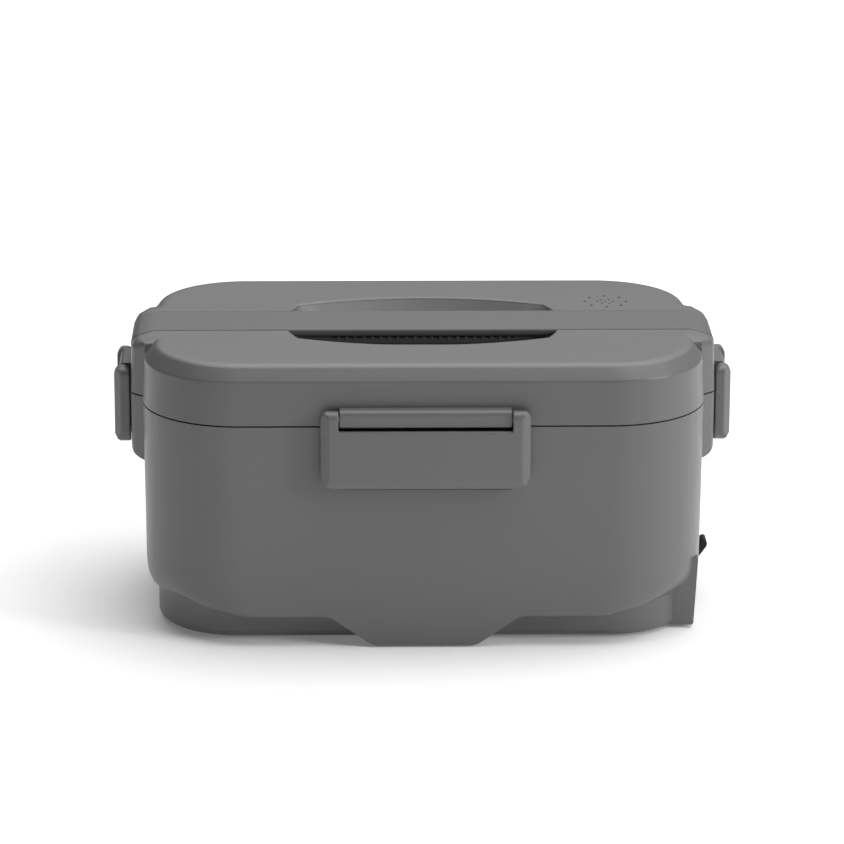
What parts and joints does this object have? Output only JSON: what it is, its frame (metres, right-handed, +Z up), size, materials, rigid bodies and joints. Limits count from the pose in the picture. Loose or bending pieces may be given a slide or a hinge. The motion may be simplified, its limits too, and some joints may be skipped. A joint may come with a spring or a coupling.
{
  "type": "electric lunch box",
  "caption": "Heated lunch box with a lift-out steel tray, a clip-on lid held by snap latches, a bridged carry handle over a finger recess, and a side mains inlet.",
  "frame": {"origin": "on the surface the feet rest on, under the middle of the box", "axes": "+X towards the inlet side along the box's length, +Y to the rear, +Z up"},
  "size_m": [0.2396, 0.1492, 0.1116],
  "materials": {
    "shell": "fine satin moulded plastic, dark grey",
    "lid_plastic": "fine satin moulded plastic, grey",
    "handle_plastic": "fine satin moulded plastic, grey",
    "grip": "textured, dark grey",
    "latch_plastic": "fine satin moulded plastic, grey",
    "inner_plastic": "smooth food-safe plastic, light grey",
    "lid_inner": "smooth food-safe plastic, off-white",
    "steel": "brushed stainless steel",
    "plate_metal": "satin aluminium",
    "sleeve": "bare pressed sleeve",
    "clamp_steel": "spring steel",
    "screw_steel": "zinc plated",
    "brass": "plain",
    "black_plastic": "black heat-proof plastic",
    "black_rubber": "soft black rubber",
    "silicone": "translucent grey silicone",
    "red_silicone": "red silicone",
    "bakelite": "brown phenolic",
    "fuse_case": "plated can",
    "brown_wire": "brown insulation",
    "blue_wire": "blue insulation",
    "red_wire": "red insulation"
  },
  "bodies": {
    "base": {"outer_body": "shell", "bottom_cover": "shell", "base_screws": "screw_steel", "rubber_feet": "black_rubber", "chamber_liner": "inner_plastic", "plate_gasket": "red_silicone", "heating_plate": "plate_metal", "plate_nuts": "brass", "ptc_heater": "sleeve", "heater_clamp": "clamp_steel", "clamp_screws": "screw_steel", "thermostat": "bakelite", "thermal_fuse": "fuse_case", "power_inlet": "black_plastic", "inlet_pins": "brass", "live_lead": "brown_wire", "neutral_lead": "blue_wire", "link_lead": "red_wire"},
    "inlet_cover": {"inlet_cover": "black_rubber"},
    "tray": {"food_tray": "steel"},
    "lid": {"lid_shell": "lid_plastic", "lid_liner": "lid_inner", "lid_seal": "silicone", "steam_valve": "silicone", "carry_handle": "handle_plastic", "handle_grip": "grip", "handle_screws": "screw_steel", "grip_screws": "screw_steel"},
    "front_latch": {"front_latch": "latch_plastic"},
    "rear_latch": {"rear_latch": "latch_plastic"},
    "left_latch": {"left_latch": "latch_plastic"},
    "right_latch": {"right_latch": "latch_plastic"}
  },
  "joints": [
    {"name": "tray_lift", "type": "slide", "parent": "base", "child": "tray", "axis": [0, 0, 1], "range_m": [0, 0.12]},
    {"name": "lid_lift", "type": "slide", "parent": "tray", "child": "lid", "axis": [0, 0, 1], "range_m": [0, 0.12]},
    {"name": "front_latch_turn", "type": "hinge", "parent": "lid", "child": "front_latch", "pos_m": [0, -0.0715, 0.0924], "axis": [-1, 0, 0], "range_deg": [0, 120]},
    {"name": "rear_latch_turn", "type": "hinge", "parent": "lid", "child": "rear_latch", "pos_m": [0, 0.0715, 0.0924], "axis": [1, 0, 0], "range_deg": [0, 120]},
    {"name": "left_latch_turn", "type": "hinge", "parent": "lid", "child": "left_latch", "pos_m": [-0.1167, 0, 0.094], "axis": [0, 1, 0], "range_deg": [0, 120]},
    {"name": "right_latch_turn", "type": "hinge", "parent": "lid", "child": "right_latch", "pos_m": [0.1167, 0, 0.094], "axis": [0, -1, 0], "range_deg": [0, 120]},
    {"name": "inlet_cover_turn", "type": "hinge", "parent": "base", "child": "inlet_cover", "pos_m": [0.1053, 0, 0.0046], "axis": [0, 1, 0], "range_deg": [0, 95]}
  ]
}
